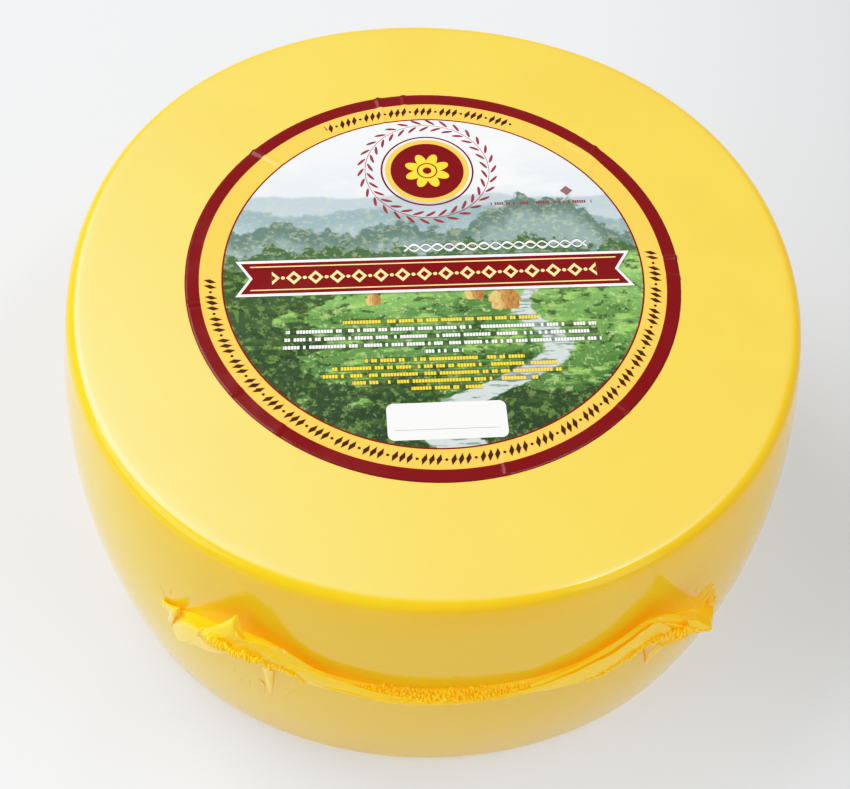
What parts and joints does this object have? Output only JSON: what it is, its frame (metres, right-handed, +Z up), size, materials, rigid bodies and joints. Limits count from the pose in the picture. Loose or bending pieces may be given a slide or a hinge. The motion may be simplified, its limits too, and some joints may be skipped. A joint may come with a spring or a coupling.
{
  "type": "whole wheel of semi-hard cheese in film",
  "caption": "Whole drum-shaped wheel of semi-hard cheese, shrink-wrapped in glossy yellow film with a sealed seam at the front and a round printed label on the top.",
  "frame": {"origin": "centre of the wheel's flat base, on the surface that it stands on", "axes": "+Z up, through the middle of the wheel; -Y towards the front of the side, where the seam is; +X to the right as seen from the front"},
  "size_m": [0.2466, 0.2528, 0.1112],
  "materials": {
    "film": "glossy shrink film, warm yellow",
    "seam_film": "glossy shrink film, crimped where it is sealed, warm yellow",
    "label_print": "thin glossy printed label: maroon and yellow rings round a plain country view"
  },
  "bodies": {
    "root": {"wheel": "film", "seam_fin": "seam_film", "label": "label_print"}
  },
  "joints": []
}
